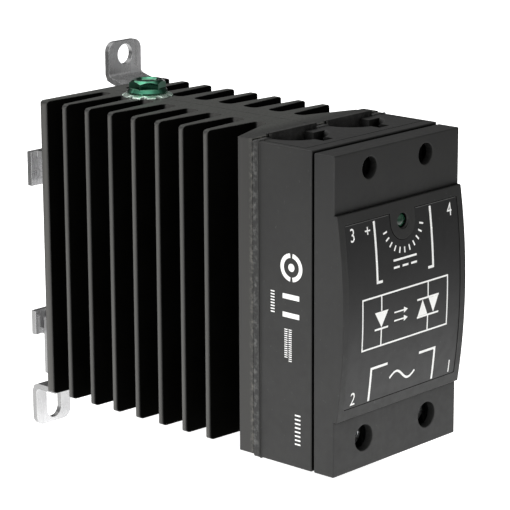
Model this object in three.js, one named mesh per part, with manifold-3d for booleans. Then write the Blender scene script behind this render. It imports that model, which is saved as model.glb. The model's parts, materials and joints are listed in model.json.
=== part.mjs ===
// Solid state relay on a finned heatsink, for a 35 mm rail or a flat panel.
// Millimetres, +X right, +Y from the front face to the rail, +Z up.
// Everything is drawn from the front face (y = 0) and the housing's underside (z = 0).
// The outer group then puts the origin on the bracket's rail seat.
import * as THREE from 'three';
import { mergeVertices } from 'three/addons/utils/BufferGeometryUtils.js';
import Module from 'manifold-3d';

const wasm = await Module();
wasm.setup();

// ---------------------------------------------------------------- driving dimensions
const WIDTH = 45;
const HALF = WIDTH / 2;
const HEIGHT = 76;

const COVER = { back: 6.05, top: 75.6, wall: 1.8, front: 2.0 };
const BASE = { front: 6.7, back: 24.8, lipFront: 3.2, lipOuter: 20.5, lip: 1.3 };
const CAVITY = { half: 20, bottom: 15.5, top: 62 };
const NAMEPLATE = { bottom: 13.4, top: 62, edge: 0.85, bulge: 1.95, steps: 14 };
const LABEL = {
  half: 20.4, bottom: 16, top: 59.6, recess: 0.4, thickness: 0.25, inset: 0.15, gap: 0.07, notch: 4.4,
};
const WINDOW = { z: 57.3, hole: 1.75, lens: 1.6, sink: 0.5, back: 2.2 };
const LED = { lens: 1.5, base: 1.9, tip: 3.4, shoulder: 4.9, rim: 7.8 };

const FIN = {
  count: 8, pitch: 8, thickness: 1.45, rootGrowth: 0.95, rear: 96.7, rearPlate: 2.4, tipRadius: 1.5,
  right: 21.7,
};
const SINK = { bottom: 0.4, top: 76.3, sideDepth: 4.45, shoulder: 34.4 };
const SPINE = { halfAtBase: 6.1, taper: 0.047, baseY: 37, slotRound: 1.7 };

const EARTH = {
  y: 81.1, thread: 2.5, depth: 8, flange: 5.1, flangeT: 1.1, hexAcross: 8, head: 2.2, chamfer: 0.9, dish: 2.6,
  washer: 6.4, washerHole: 2.7, washerT: 0.9, teeth: 10, notch: 0.9, bare: 0.05,
};

const SHEET = 1.5;
const RAIL = { z: 37.6, height: 35, grip: 1.2 };
const BRACKET = { front: FIN.rear, half: 20.2, bottom: 2, top: 74.4, wall: 105.5 };
const EAR = {
  upper: { x: [8.9, 20.6], leg: 74, rise: 1.4, end: 86 },
  lower: { x: [-19.5, -7.5], leg: 0.7, rise: 0, end: -11 },
  corner: 2.6, bend: 2.1,
};
const EAR_HOLE = { x: 14.8, z: 82.4, radius: 2.65 };
const EAR_SLOT = { x: -13.4, low: -7.4, high: -0.1, radius: 2.45 };
const HOOK = { inner: 15, outer: 22.3, front: 100.4, top: 62.7 };
const LATCH = {
  gap: 0.3, sheet: 1.2, half: 20.2, plateLow: 4.6, top: 19.6, leg: 15, travel: 3, window: 3.4,
  tongueHalf: 6, bottom: -3, grip: 3,
};
const SPRING = {
  y: 101, radius: 1.85, wire: 0.5, turns: 6, bottom: 4.05, top: 14.95, steps: 12, seatHalf: 2.6,
};
const RIVET = { x: 9, z: 8.6, radius: 1.5, head: 3, headT: 1 };
const BRACKET_SCREW = { heights: [29.5, 45.7], head: 3.8, thread: 2, length: 8, cross: 0.5, crossHalf: 2 };

// A clamp terminal: screw axis, screw, cage (outer and inner), contact strip and wire door.
const INPUT = {
  x: 10.1, z: 71.15, hole: 2.55, head: 2.3, thread: 1.75, headFront: 3.6, headT: 1.7, tip: 13.9,
  cageHalf: 6, wall: 1.3, cageFront: 11.5, cageBack: 21.7, cageBottom: 67.8, cageTop: 73.8,
  strip: [14, 15], stripX: 10.1, stripHalf: 3.6,
  pocket: { inner: 3.4, outer: 17, back: 23.1, bottom: 64.8, top: 74 },
  door: { x: 10.05, back: 22.9, radius: 7.9, lip: 0.9, drop: 1.5 },
};
const OUTPUT = {
  x: 11.6, z: 7.2, hole: 3.1, head: 2.85, thread: 2, headFront: 3.4, headT: 2, tip: 14.3,
  cageHalf: 6.8, wall: 1.5, cageFront: 12.2, cageBack: 23.1, cageBottom: 2.2, cageTop: 12.7,
  strip: [14.4, 15.6], stripX: 10.2, stripHalf: 3.4,
  pocket: { inner: 4.2, outer: 19, back: 23.5, bottom: 1.7, top: 13.2 },
  door: { x: 11.7, back: 22.7, radius: 6.9, lip: 0.8, drop: 1.3 },
};
const CLAMP_SLOT = { half: 0.45, reach: 0.62, depth: 0.6 };
const DOOR_RIB = { height: 1.2, front: 1.7, back: 0.2 };
const HOUSING_SCREW = {
  x: 17.2, z: 38, thread: 1.5, head: 2.6, neck: 2, headT: 2, boss: 18, tip: 29, bossHalf: 4, bossIn: 15.4,
};
const POWER = {
  spreader: 2, ceramic: 1, inset: 1.2, half: 14.8, bottom: 20, top: 56,
  chip: 0.5, chipHalf: 4.5, chipHeights: [34.5, 45],
};
const BOARD = { front: 9, back: 10.6, half: 18.9, bottom: 28, top: 61.4 };
const GATE_LEAD = { places: [[-7, 51], [0, 51], [7, 51]], radius: 0.4, hole: 0.6, proud: 0.9 };
const RUNNING = 0.1;

// ---------------------------------------------------------------- materials
const finish = (color, roughness, metalness) =>
  new THREE.MeshStandardMaterial({ color, roughness, metalness });
const MATERIAL = {
  housing: finish(0x3a3a38, 0.6, 0),
  label: finish(0x1c1c1c, 0.45, 0),
  anodised: finish(0x1b1b1a, 0.55, 0.4),
  plated: finish(0xc4c6c8, 0.25, 1),
  green: finish(0x1d7a4c, 0.25, 0.8),
  steel: finish(0xa9abad, 0.35, 1),
  copper: finish(0xb87a52, 0.35, 1),
  ceramic: finish(0xe6e4dc, 0.5, 0),
  silicon: finish(0x3c3f47, 0.3, 0.3),
  board: finish(0x1f5a37, 0.5, 0),
  component: finish(0x202020, 0.5, 0),
  film: finish(0xb8842c, 0.45, 0),
  disc: finish(0x2f5f9a, 0.45, 0),
  lens: finish(0x14301f, 0.15, 0),
  led: finish(0x3fae5a, 0.3, 0),
};

// ---------------------------------------------------------------- solids
function signedVolume(positions, triangles) {
  let sum = 0;
  for (let i = 0; i < triangles.length; i += 3) {
    const [a, b, c] = [0, 1, 2].map((k) => new THREE.Vector3().fromArray(positions, 3 * triangles[i + k]));
    sum += a.dot(b.cross(c)) / 6;
  }
  return sum;
}

// A lathe profile or an outline may be drawn either way round: the faces are turned out here.
function solid(geometry) {
  const bare = geometry.clone();
  bare.deleteAttribute('normal');
  bare.deleteAttribute('uv');
  const merged = mergeVertices(bare, 1e-5);
  const positions = new Float32Array(merged.attributes.position.array);
  const triangles = new Uint32Array(merged.index.array);
  if (signedVolume(positions, triangles) < 0) triangles.reverse();
  return new wasm.Manifold(new wasm.Mesh({ numProp: 3, vertProperties: positions, triVerts: triangles }));
}

function toGeometry(manifold) {
  const mesh = manifold.getMesh();
  const geometry = new THREE.BufferGeometry();
  geometry.setAttribute('position', new THREE.BufferAttribute(mesh.vertProperties, 3));
  geometry.setIndex(new THREE.BufferAttribute(mesh.triVerts, 1));
  geometry.computeVertexNormals();
  return geometry;
}

function box([x0, x1], [y0, y1], [z0, z1]) {
  const geometry = new THREE.BoxGeometry(x1 - x0, y1 - y0, z1 - z0);
  geometry.translate((x0 + x1) / 2, (y0 + y1) / 2, (z0 + z1) / 2);
  return solid(geometry);
}

function extrude(shape, depth, curveSegments = 6) {
  return new THREE.ExtrudeGeometry(shape, { depth, bevelEnabled: false, curveSegments });
}

// A shape drawn in (x, y) and carried up z.
function prismZ(shape, z0, z1, curveSegments) {
  return solid(extrude(shape, z1 - z0, curveSegments).translate(0, 0, z0));
}

// A shape drawn in (x, z) and carried along y.
function prismY(shape, y0, y1, curveSegments) {
  return solid(extrude(shape, y1 - y0, curveSegments).rotateX(Math.PI / 2).translate(0, y1, 0));
}

// A shape drawn in (y, z) and carried along x.
function prismX(shape, x0, x1, curveSegments) {
  const geometry = extrude(shape, x1 - x0, curveSegments);
  return solid(geometry.rotateY(Math.PI / 2).rotateX(Math.PI / 2).translate(x0, 0, 0));
}

function turned(profile, sides) {
  return new THREE.LatheGeometry(profile.map(([r, h]) => new THREE.Vector2(r, h)), sides);
}

// Turned pieces: the profile is (radius, distance along the axis), starting and ending on the axis.
function turnedY(profile, x, z, sides = 24) {
  return solid(turned(profile, sides).translate(x, 0, z));
}

function turnedZ(profile, x, y, sides = 24) {
  return solid(turned(profile, sides).rotateX(Math.PI / 2).translate(x, y, 0));
}

function turnedX(profile, y, z, sides = 16) {
  return solid(turned(profile, sides).rotateZ(-Math.PI / 2).translate(0, y, z));
}

const rodY = (x, z, r, y0, y1, sides) => turnedY([[0, y0], [r, y0], [r, y1], [0, y1]], x, z, sides);
const rodZ = (x, y, r, z0, z1, sides) => turnedZ([[0, z0], [r, z0], [r, z1], [0, z1]], x, y, sides);
const rodX = (y, z, r, x0, x1, sides) => turnedX([[0, x0], [r, x0], [r, x1], [0, x1]], y, z, sides);

function polygon(points) {
  return new THREE.Shape(points.map(([a, b]) => new THREE.Vector2(a, b)));
}

function roundedRectangle(x0, x1, z0, z1, r) {
  const shape = new THREE.Shape();
  shape.moveTo(x0 + r, z0);
  shape.lineTo(x1 - r, z0);
  shape.absarc(x1 - r, z0 + r, r, -Math.PI / 2, 0, false);
  shape.lineTo(x1, z1 - r);
  shape.absarc(x1 - r, z1 - r, r, 0, Math.PI / 2, false);
  shape.lineTo(x0 + r, z1);
  shape.absarc(x0 + r, z1 - r, r, Math.PI / 2, Math.PI, false);
  shape.lineTo(x0, z0 + r);
  shape.absarc(x0 + r, z0 + r, r, Math.PI, Math.PI * 1.5, false);
  return shape;
}

// The outline of a sheet of one thickness whose outer side follows the given corners.
function sheetOutline(corners, thickness) {
  const unit = (a, b) => {
    const length = Math.hypot(b[0] - a[0], b[1] - a[1]);
    return [(b[0] - a[0]) / length, (b[1] - a[1]) / length];
  };
  const inner = corners.map((corner, i) => {
    const last = corners.length - 1;
    const before = unit(corners[Math.max(i - 1, 0)], corners[Math.max(i, 1)]);
    const after = unit(corners[Math.min(i, last - 1)], corners[Math.min(i + 1, last)]);
    const normal = [-(before[1] + after[1]), before[0] + after[0]];
    const along = -normal[0] * before[1] + normal[1] * before[0];
    return [corner[0] + normal[0] * thickness / along, corner[1] + normal[1] * thickness / along];
  });
  return polygon([...corners, ...inner.reverse()]);
}

const both = (make) => [make(-1), make(1)];
const span = (sign, a, b) => (sign < 0 ? [-b, -a] : [a, b]);
const joined = (solids) => solids.reduce((sum, next) => sum.add(next));
const without = (body, cuts) => cuts.reduce((rest, cut) => rest.subtract(cut), body);

// ---------------------------------------------------------------- heatsink
const spineHalf = (y) => SPINE.halfAtBase - SPINE.taper * (y - SPINE.baseY);
const finRear = (fromFront) => FIN.rear - FIN.pitch * (FIN.count - 1 - fromFront);

// The slots of one side, from the base plate back: the y of each slot's two faces at tip and root.
function slots() {
  return Array.from({ length: FIN.count }, (_, i) => {
    const rearmost = i === FIN.count - 1;
    const thickness = rearmost ? FIN.rearPlate : FIN.thickness;
    const far = finRear(i) - thickness;
    const near = i === 0 ? BASE.back + SINK.sideDepth : finRear(i - 1);
    const nearRoot = i === 0 ? SINK.shoulder : near + FIN.rootGrowth;
    return { near, nearRoot, far, farRoot: far - FIN.rootGrowth };
  });
}

function drawSlot(shape, slot, sign, backwards) {
  const end = spineHalf((slot.nearRoot + slot.farRoot) / 2);
  const shoulder = end + SPINE.slotRound;
  const middle = (slot.nearRoot + slot.farRoot) / 2;
  const [first, firstRoot, last, lastRoot] = backwards
    ? [slot.far, slot.farRoot, slot.near, slot.nearRoot]
    : [slot.near, slot.nearRoot, slot.far, slot.farRoot];
  const reach = sign > 0 ? FIN.right : HALF;
  shape.lineTo(sign * reach, first);
  shape.lineTo(sign * shoulder, firstRoot);
  shape.quadraticCurveTo(sign * end, firstRoot, sign * end, middle);
  shape.quadraticCurveTo(sign * end, lastRoot, sign * shoulder, lastRoot);
  shape.lineTo(sign * reach, last);
}

function heatsink() {
  const outline = new THREE.Shape();
  outline.moveTo(-HALF, BASE.back);
  outline.lineTo(HALF, BASE.back);
  outline.lineTo(HALF, BASE.back + SINK.sideDepth);
  slots().forEach((slot) => drawSlot(outline, slot, 1, false));
  outline.lineTo(FIN.right, FIN.rear);
  outline.lineTo(-HALF, FIN.rear);
  slots().reverse().forEach((slot) => drawSlot(outline, slot, -1, true));
  const extrusion = prismZ(outline, SINK.bottom, SINK.top, 5);

  const finStart = BASE.back + SINK.sideDepth + 1;
  const rounding = prismY(
    roundedRectangle(-HALF, FIN.right, SINK.bottom, SINK.top, FIN.tipRadius), finStart - 1, FIN.rear + 1, 4);
  const plate = box([-HALF, HALF], [BASE.back, finStart], [SINK.bottom, SINK.top]);
  const rounded = extrusion.intersect(rounding.add(plate));

  const drillPoint = 0.4;
  const tapped = rodZ(0, EARTH.y, EARTH.thread + RUNNING,
    SINK.top - EARTH.depth - drillPoint, SINK.top + 1, 24);
  const bracketHoles = BRACKET_SCREW.heights.map(
    (z) => countersunk(z, RUNNING, FIN.rear - BRACKET_SCREW.length - drillPoint));
  const housingHoles = both((s) => rodY(s * HOUSING_SCREW.x, HOUSING_SCREW.z, HOUSING_SCREW.thread + RUNNING,
    BASE.back - 1, HOUSING_SCREW.tip + drillPoint, 16));
  return without(rounded, [tapped, ...bracketHoles, ...housingHoles]);
}

// ---------------------------------------------------------------- earth screw
const earthBase = SINK.top + EARTH.washerT;

function earthWasher() {
  const low = SINK.top + EARTH.bare;
  const top = earthBase - EARTH.bare;
  const notch = (i) => {
    const angle = (i * 2 * Math.PI) / EARTH.teeth;
    return rodZ(Math.cos(angle) * EARTH.washer, EARTH.y + Math.sin(angle) * EARTH.washer, EARTH.notch,
      low - 1, top + 1, 8);
  };
  const ring = turnedZ([
    [EARTH.washerHole, low], [EARTH.washer, low], [EARTH.washer, low + EARTH.washerT / 3],
    [EARTH.flange, top], [EARTH.washerHole, top], [EARTH.washerHole, low],
  ], 0, EARTH.y, 30);
  return without(ring, Array.from({ length: EARTH.teeth }, (_, i) => notch(i)));
}

function earthScrew() {
  const corner = EARTH.hexAcross / 2 / Math.cos(Math.PI / 6);
  const edge = EARTH.flangeT * 0.4;
  const bevel = EARTH.chamfer;
  const hexBottom = earthBase + EARTH.flangeT;
  const hexTop = hexBottom + EARTH.head;
  const flange = turnedZ([
    [0, earthBase], [EARTH.flange, earthBase], [EARTH.flange, earthBase + edge],
    [corner - bevel / 2, hexBottom], [0, hexBottom],
  ], 0, EARTH.y, 30);
  const hexagon = rodZ(0, EARTH.y, corner, hexBottom - edge, hexTop, 6);
  const chamfer = turnedZ([
    [0, earthBase - 1], [corner + 1, earthBase - 1], [corner + 1, hexTop - bevel - 0.2],
    [corner - bevel, hexTop], [0, hexTop],
  ], 0, EARTH.y, 30);
  const dish = rodZ(0, EARTH.y, EARTH.dish, hexTop - bevel / 2, hexTop + 1, 20);
  const shank = rodZ(0, EARTH.y, EARTH.thread, SINK.top - EARTH.depth, earthBase + 0.5, 24);
  return joined([flange, hexagon.intersect(chamfer), shank]).subtract(dish);
}

// ---------------------------------------------------------------- housing shells
function baseHousing() {
  const shell = box([-HALF, HALF], [BASE.front, BASE.back], [0, HEIGHT]);
  const sideLips = both((s) => box(span(s, BASE.lipOuter - BASE.lip, BASE.lipOuter),
    [BASE.lipFront, BASE.front + 1], [4, 72]));
  const { x: doorX, radius: doorHalf } = INPUT.door;
  const ribs = both((s) => box(span(s, doorX - doorHalf, doorX + doorHalf),
    [BASE.back - DOOR_RIB.front, BASE.back - DOOR_RIB.back], [HEIGHT - 1, HEIGHT + DOOR_RIB.height]));
  const cavity = box([-CAVITY.half, CAVITY.half], [BASE.front - 5, BASE.back + 1],
    [CAVITY.bottom, CAVITY.top]);
  const bosses = both((s) => box(span(s, HOUSING_SCREW.bossIn, CAVITY.half + 1),
    [HOUSING_SCREW.boss, BASE.back],
    [HOUSING_SCREW.z - HOUSING_SCREW.bossHalf, HOUSING_SCREW.z + HOUSING_SCREW.bossHalf]));
  const screwHoles = both((s) => rodY(s * HOUSING_SCREW.x, HOUSING_SCREW.z,
    HOUSING_SCREW.thread + 0.2, HOUSING_SCREW.boss - 1, BASE.back + 1, 16));

  const openings = both((s) => [
    wirePocket(s, INPUT),
    wirePocket(s, OUTPUT),
    stripSlot(s, INPUT, CAVITY.top - 1, INPUT.pocket.bottom + 1),
    stripSlot(s, OUTPUT, OUTPUT.pocket.top - 1, CAVITY.bottom + 1),
    wireDoor(s, INPUT.door, HEIGHT, 1),
    wireDoor(s, OUTPUT.door, 0, -1),
  ]).flat();

  const hollowed = without(joined([shell, ...sideLips, ...ribs]), [cavity, ...openings]);
  return without(joined([hollowed, ...bosses]), screwHoles);
}

function wirePocket(sign, { pocket }) {
  return box(span(sign, pocket.inner, pocket.outer), [BASE.front - 1, pocket.back],
    [pocket.bottom, pocket.top]);
}

// The gap in a partition that a terminal's contact strip passes through.
function stripSlot(sign, t, z0, z1) {
  const side = 0.3;
  return box(span(sign, t.stripX - t.stripHalf - side, t.stripX + t.stripHalf + side),
    [t.strip[0] - side, t.strip[1] + side], [z0, z1]);
}

// A wire door: a half-round opening, flat at the back, whose lip leads the wire in.
function wireDoor(sign, { x, back, radius, lip, drop }, face, up) {
  const profile = [
    [0, face + up * 3], [radius + lip, face + up * 3], [radius + lip, face], [radius, face - up * drop],
    [radius, face - up * 3], [0, face - up * 3],
  ];
  const round = turnedZ(profile, sign * x, back, 40);
  const reach = radius + lip + 1;
  const half = box([sign * x - reach, sign * x + reach], [back - reach, back], [face - 5, face + 5]);
  return round.intersect(half);
}

// The nameplate's crowned front: y of its face at height z, set back by depth.
const namePlateMiddle = (NAMEPLATE.top + NAMEPLATE.bottom) / 2;
const namePlateChord = (NAMEPLATE.top - NAMEPLATE.bottom) / 2;
const crownRadius = (namePlateChord ** 2 + NAMEPLATE.bulge ** 2) / (2 * NAMEPLATE.bulge);

function crown(z, depth = 0) {
  const drop = crownRadius - Math.sqrt(crownRadius ** 2 - (z - namePlateMiddle) ** 2);
  return depth + drop - NAMEPLATE.edge - NAMEPLATE.bulge;
}

function crownLine(z0, z1, depth) {
  return Array.from({ length: NAMEPLATE.steps + 1 }, (_, i) => {
    const z = z0 + ((z1 - z0) * i) / NAMEPLATE.steps;
    return [crown(z, depth), z];
  });
}

// The crowned band between two depths, less the notch that frames the status window.
function crownBand(z0, z1, near, far, half, notchHalf = LABEL.notch) {
  const outline = polygon([...crownLine(z0, z1, near), ...crownLine(z0, z1, far).reverse()]);
  const band = prismX(outline, -half, half);
  const notch = new THREE.Shape();
  notch.moveTo(-notchHalf, LABEL.top + 3);
  notch.lineTo(-notchHalf, WINDOW.z);
  notch.absarc(0, WINDOW.z, notchHalf, Math.PI, 2 * Math.PI, false);
  notch.lineTo(notchHalf, LABEL.top + 3);
  return band.subtract(prismY(notch, -6, 3, 8));
}

function frontCover() {
  const { wall, back, top, front } = COVER;
  const shell = box([-HALF, HALF], [0, back], [0, top]);
  const hollow = box([-HALF + wall, HALF - wall], [front, back + 1], [wall, top - wall]);
  const behind = 0.5;
  const plate = prismX(polygon([
    [behind, NAMEPLATE.bottom], ...crownLine(NAMEPLATE.bottom, NAMEPLATE.top, 0), [behind, NAMEPLATE.top],
  ]), -HALF, HALF);
  const panel = crownBand(LABEL.bottom, LABEL.top, -1, LABEL.recess, LABEL.half);
  const window = rodY(0, WINDOW.z, WINDOW.hole, -4, front + 1, 20);
  const drilled = (grow, y0, y1) => [INPUT, OUTPUT].flatMap(
    (t) => both((s) => rodY(s * t.x, t.z, t.hole + grow, y0, y1, 20)));
  const access = drilled(0, -1, front + 2);
  const collars = drilled(0.8, front - 0.5, front + 1);
  return without(joined([shell.subtract(hollow), plate, ...collars]), [panel, window, ...access]);
}

function nameplateLabel() {
  const { inset } = LABEL;
  const back = LABEL.recess - LABEL.gap;
  return crownBand(LABEL.bottom + inset, LABEL.top - inset, back - LABEL.thickness, back,
    LABEL.half - inset, LABEL.notch + inset);
}

function statusWindow() {
  const face = crown(WINDOW.z) + WINDOW.sink;
  return turnedY([
    [0, face], [WINDOW.lens - 0.4, face + 0.1], [WINDOW.lens, face + 0.5],
    [WINDOW.lens, WINDOW.back], [0, WINDOW.back],
  ], 0, WINDOW.z, 20);
}

// ---------------------------------------------------------------- terminals
// The slotted clamp screw is held in the housing; its tip bears on the contact strip.
function terminalScrew(t, sign) {
  const headBack = t.headFront + t.headT;
  const screw = turnedY([
    [0, t.headFront], [t.head - 0.35, t.headFront], [t.head, t.headFront + 0.35], [t.head, headBack],
    [t.thread, headBack], [t.thread, t.tip - 0.4], [t.thread - 0.4, t.tip], [0, t.tip],
  ], sign * t.x, t.z, 24);
  const slot = CLAMP_SLOT.half;
  const length = t.head * CLAMP_SLOT.reach;
  const depth = [t.headFront - 1, t.headFront + t.headT * CLAMP_SLOT.depth];
  const across = box([sign * t.x - length, sign * t.x + length], depth, [t.z - slot, t.z + slot]);
  const upright = box([sign * t.x - slot, sign * t.x + slot], depth, [t.z - length, t.z + length]);
  return screw.subtract(across.add(upright));
}

// The cage that the screw draws forward: its back wall lifts the wire against the strip.
function clampCage(t, sign) {
  const x = sign * t.x;
  const frontWall = t.wall + 0.3;
  const outer = box([x - t.cageHalf, x + t.cageHalf], [t.cageFront, t.cageBack], [t.cageBottom, t.cageTop]);
  const inner = box([x - t.cageHalf + t.wall, x + t.cageHalf - t.wall],
    [t.cageFront + frontWall, t.cageBack - t.wall], [t.cageBottom - 1, t.cageTop + 1]);
  const thread = rodY(x, t.z, t.thread + RUNNING, t.cageFront - 1, t.cageFront + frontWall + 1, 24);
  return without(outer, [inner, thread]);
}

function inputContact(sign) {
  const [front, back] = INPUT.strip;
  const top = INPUT.cageTop - 0.3;
  const foot = BOARD.top - 4.4;
  const boardBack = BOARD.back + 0.05;
  const outline = polygon([
    [front, top], [back, top], [back, foot], [boardBack, foot], [boardBack, foot + 1], [front, foot + 1],
  ]);
  return prismX(outline, sign * INPUT.stripX - INPUT.stripHalf, sign * INPUT.stripX + INPUT.stripHalf);
}

function outputBusbar(sign) {
  const [front, back] = OUTPUT.strip;
  const sheet = back - front;
  const low = OUTPUT.cageBottom + 0.4;
  const shelf = POWER.bottom + 3.4;
  const end = shelf + 5.6;
  const outline = polygon([
    [front, low], [back, low], [back, shelf], [ceramicFront, shelf], [ceramicFront, end],
    [ceramicFront - sheet, end], [ceramicFront - sheet, shelf + sheet], [front, shelf + sheet],
  ]);
  return prismX(outline, sign * OUTPUT.stripX - OUTPUT.stripHalf, sign * OUTPUT.stripX + OUTPUT.stripHalf);
}

// ---------------------------------------------------------------- power stage and board
const spreaderFront = BASE.back - POWER.spreader;
const ceramicFront = spreaderFront - POWER.ceramic;

const heatSpreader = () => box([-POWER.half, POWER.half], [spreaderFront, BASE.back],
  [POWER.bottom, POWER.top]);
const ceramicSubstrate = () => box([-POWER.half + POWER.inset, POWER.half - POWER.inset],
  [ceramicFront, spreaderFront], [POWER.bottom + POWER.inset, POWER.top - POWER.inset]);

function scrChip(z) {
  const half = POWER.chipHalf;
  return box([-half, half], [ceramicFront - POWER.chip, ceramicFront], [z - half, z + half]);
}

function controlBoard() {
  const board = box([-BOARD.half, BOARD.half], [BOARD.front, BOARD.back], [BOARD.bottom, BOARD.top]);
  const pins = GATE_LEAD.places.map(
    ([x, z]) => rodY(x, z, GATE_LEAD.hole, BOARD.front - 1, BOARD.back + 1, 12));
  return without(board, pins);
}

const gateLead = ([x, z]) => rodY(x, z, GATE_LEAD.radius, BOARD.front - GATE_LEAD.proud, ceramicFront, 10);

const optocoupler = () => box([-11.5, -2.9], [BOARD.front - 3.5, BOARD.front], [38.8, 45.2]);
const snubberCapacitor = () => box([-16.5, -3.5], [BOARD.back, BOARD.back + 5.4], [30.5, 41]);
const varistor = () => rodY(10.2, 37.5, 5.2, BOARD.back, BOARD.back + 4, 24);
const snubberResistor = () => rodX(BOARD.back + 1.9, 46, 1.8, -15, -4, 14);
const boardResistor = (z) => rodX(BOARD.front - 1.25, z, 1.2, 4.5, 11.5, 12);
const statusLed = () => turnedY([
  [0, LED.tip], [LED.lens * 0.5, LED.tip + 0.2], [LED.lens * 0.85, LED.tip + 0.8], [LED.lens, LED.shoulder],
  [LED.lens, LED.rim], [LED.base, LED.rim], [LED.base, BOARD.front], [0, BOARD.front],
], 0, WINDOW.z, 16);

function housingScrew(sign) {
  const { x, z, thread, head, neck, headT, boss, tip } = HOUSING_SCREW;
  return turnedY([
    [0, boss - headT], [neck, boss - headT], [head, boss - headT + 0.7], [head, boss],
    [thread, boss], [thread, tip], [0, tip],
  ], sign * x, z, 16);
}

// ---------------------------------------------------------------- mounting bracket
const bracketBack = BRACKET.front + SHEET;
const toothTip = RAIL.z + RAIL.height / 2 - RAIL.grip;
const seatBack = SPRING.y + SPRING.radius + 0.35;

// A 90 degree countersunk outline on the bracket's centre line, grown by a clearance.
function countersunk(z, grow, tip, face = bracketBack + 0.5) {
  const head = BRACKET_SCREW.head + grow;
  const thread = BRACKET_SCREW.thread + grow;
  return turnedY([
    [0, tip], [thread, tip], [thread, bracketBack - (head - thread)], [head, bracketBack],
    [head, face], [0, face],
  ].reverse(), 0, z, 24);
}

function bracketScrew(z) {
  const { cross, crossHalf, length } = BRACKET_SCREW;
  const face = bracketBack - 0.05;
  const tip = FIN.rear - length;
  const body = countersunk(z, 0, tip).intersect(box([-5, 5], [tip - 1, face], [z - 5, z + 5]));
  const recess = box([-crossHalf, crossHalf], [face - 1, face + 1], [z - cross, z + cross])
    .add(box([-cross, cross], [face - 1, face + 1], [z - crossHalf, z + crossHalf]));
  return body.subtract(recess);
}

// An ear: the sheet leaves the plate, runs back to the wall plane and bends up (or down). The upper
// ear's leg climbs on its way.
function ear(up) {
  const { x, leg, rise, end } = up > 0 ? EAR.upper : EAR.lower;
  const turn = leg + rise;
  const { wall } = BRACKET;
  const start = up > 0 ? BRACKET.top - 8 : BRACKET.bottom + 8;
  const halfway = EAR.bend * (1 - Math.SQRT1_2);
  const corners = [
    [bracketBack, start], [bracketBack, leg], [wall - EAR.bend, turn],
    [wall - halfway, turn + up * halfway], [wall, turn + up * EAR.bend], [wall, end],
  ];
  const sheet = prismX(sheetOutline(corners, up * SHEET), ...x);
  const [low, high] = [Math.min(start, end), Math.max(start, end)];
  const face = roundedRectangle(...x, up > 0 ? low - 5 : low, up > 0 ? high : high + 5, EAR.corner);
  return sheet.intersect(prismY(face, bracketBack - 5, wall + 1, 4));
}

function earSlot() {
  const { x, low, high, radius } = EAR_SLOT;
  const slot = new THREE.Shape();
  slot.absarc(x, low, radius, Math.PI, 2 * Math.PI, false);
  slot.lineTo(x + radius, high);
  slot.absarc(x, high, radius, 0, Math.PI, false);
  return prismY(slot, BRACKET.wall - SHEET - 1, BRACKET.wall + 1, 6);
}

// A rail hook: a leg back from the sheet and a finger that turns behind the rail's lip.
function railHook(sign, legFrom, legTo, fingerEnd, sheetBack) {
  const back = HOOK.front + SHEET;
  const leg = box(span(sign, HOOK.inner, LATCH.half), [sheetBack - 0.5, back], [legFrom, legTo]);
  const finger = box(span(sign, HOOK.inner, HOOK.outer), [HOOK.front, back],
    [Math.min(legFrom, fingerEnd), Math.max(legTo, fingerEnd)]);
  return leg.add(finger);
}

function mountingBracket() {
  const plate = box([-BRACKET.half, BRACKET.half], [BRACKET.front, bracketBack],
    [BRACKET.bottom, BRACKET.top]);
  const hole = rodY(EAR_HOLE.x, EAR_HOLE.z, EAR_HOLE.radius, bracketBack, BRACKET.wall + 1, 24);
  const hooks = both((s) => railHook(s, HOOK.top - SHEET, HOOK.top, toothTip, bracketBack));
  const seatTop = SPRING.bottom - 0.05;
  const seat = box([-SPRING.seatHalf, SPRING.seatHalf], [bracketBack - 0.5, seatBack],
    [seatTop - SHEET, seatTop]);
  const screwHoles = BRACKET_SCREW.heights.map((z) => countersunk(z, RUNNING, FIN.rear - 1));
  const rivetHoles = both((s) => rodY(s * RIVET.x, RIVET.z, RIVET.radius + 0.05,
    BRACKET.front - 1, bracketBack + 1, 16));
  return without(joined([plate, ear(1), ear(-1), ...hooks, seat]),
    [hole, earSlot(), ...screwHoles, ...rivetHoles]);
}

// ---------------------------------------------------------------- sliding rail latch
const latchFront = bracketBack + LATCH.gap;
const latchBack = latchFront + LATCH.sheet;

function dinLatch() {
  const tongueX = [-LATCH.tongueHalf, LATCH.tongueHalf];
  const plate = box([-LATCH.half, LATCH.half], [latchFront, latchBack], [LATCH.plateLow, LATCH.top]);
  const tongue = box(tongueX, [latchFront, latchBack], [LATCH.bottom, LATCH.plateLow + 1]);
  const grip = box(tongueX, [latchFront, latchBack + LATCH.grip], [LATCH.bottom, LATCH.bottom + LATCH.sheet]);
  const seatLow = SPRING.top + 0.05;
  const springSeat = box([-SPRING.seatHalf, SPRING.seatHalf], [latchFront, seatBack],
    [seatLow, seatLow + LATCH.sheet]);
  const hooks = both((s) => railHook(s, LATCH.leg, LATCH.leg + SHEET,
    RAIL.z - RAIL.height / 2 + RAIL.grip, latchBack));
  const window = box([-LATCH.window, LATCH.window], [latchFront - 1, latchBack + 1],
    [SPRING.bottom - SHEET - 0.4, seatLow]);
  const slots = both((s) => {
    const half = RIVET.radius + 0.3;
    const slot = roundedRectangle(s * RIVET.x - half, s * RIVET.x + half,
      RIVET.z - half - RUNNING, RIVET.z + half + RUNNING + LATCH.travel, half - 0.05);
    return prismY(slot, latchFront - 1, latchBack + 1, 4);
  });
  return without(joined([plate, tongue, grip, springSeat, ...hooks]), [window, ...slots]);
}

function latchRivet(sign) {
  const { x, z, radius, head, headT } = RIVET;
  const front = BRACKET.front + 0.1;
  const under = latchBack + 0.2;
  return turnedY([
    [0, front], [radius, front], [radius, under], [head, under],
    [head - headT / 2, under + headT], [0, under + headT],
  ], sign * x, z, 16);
}

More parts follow.
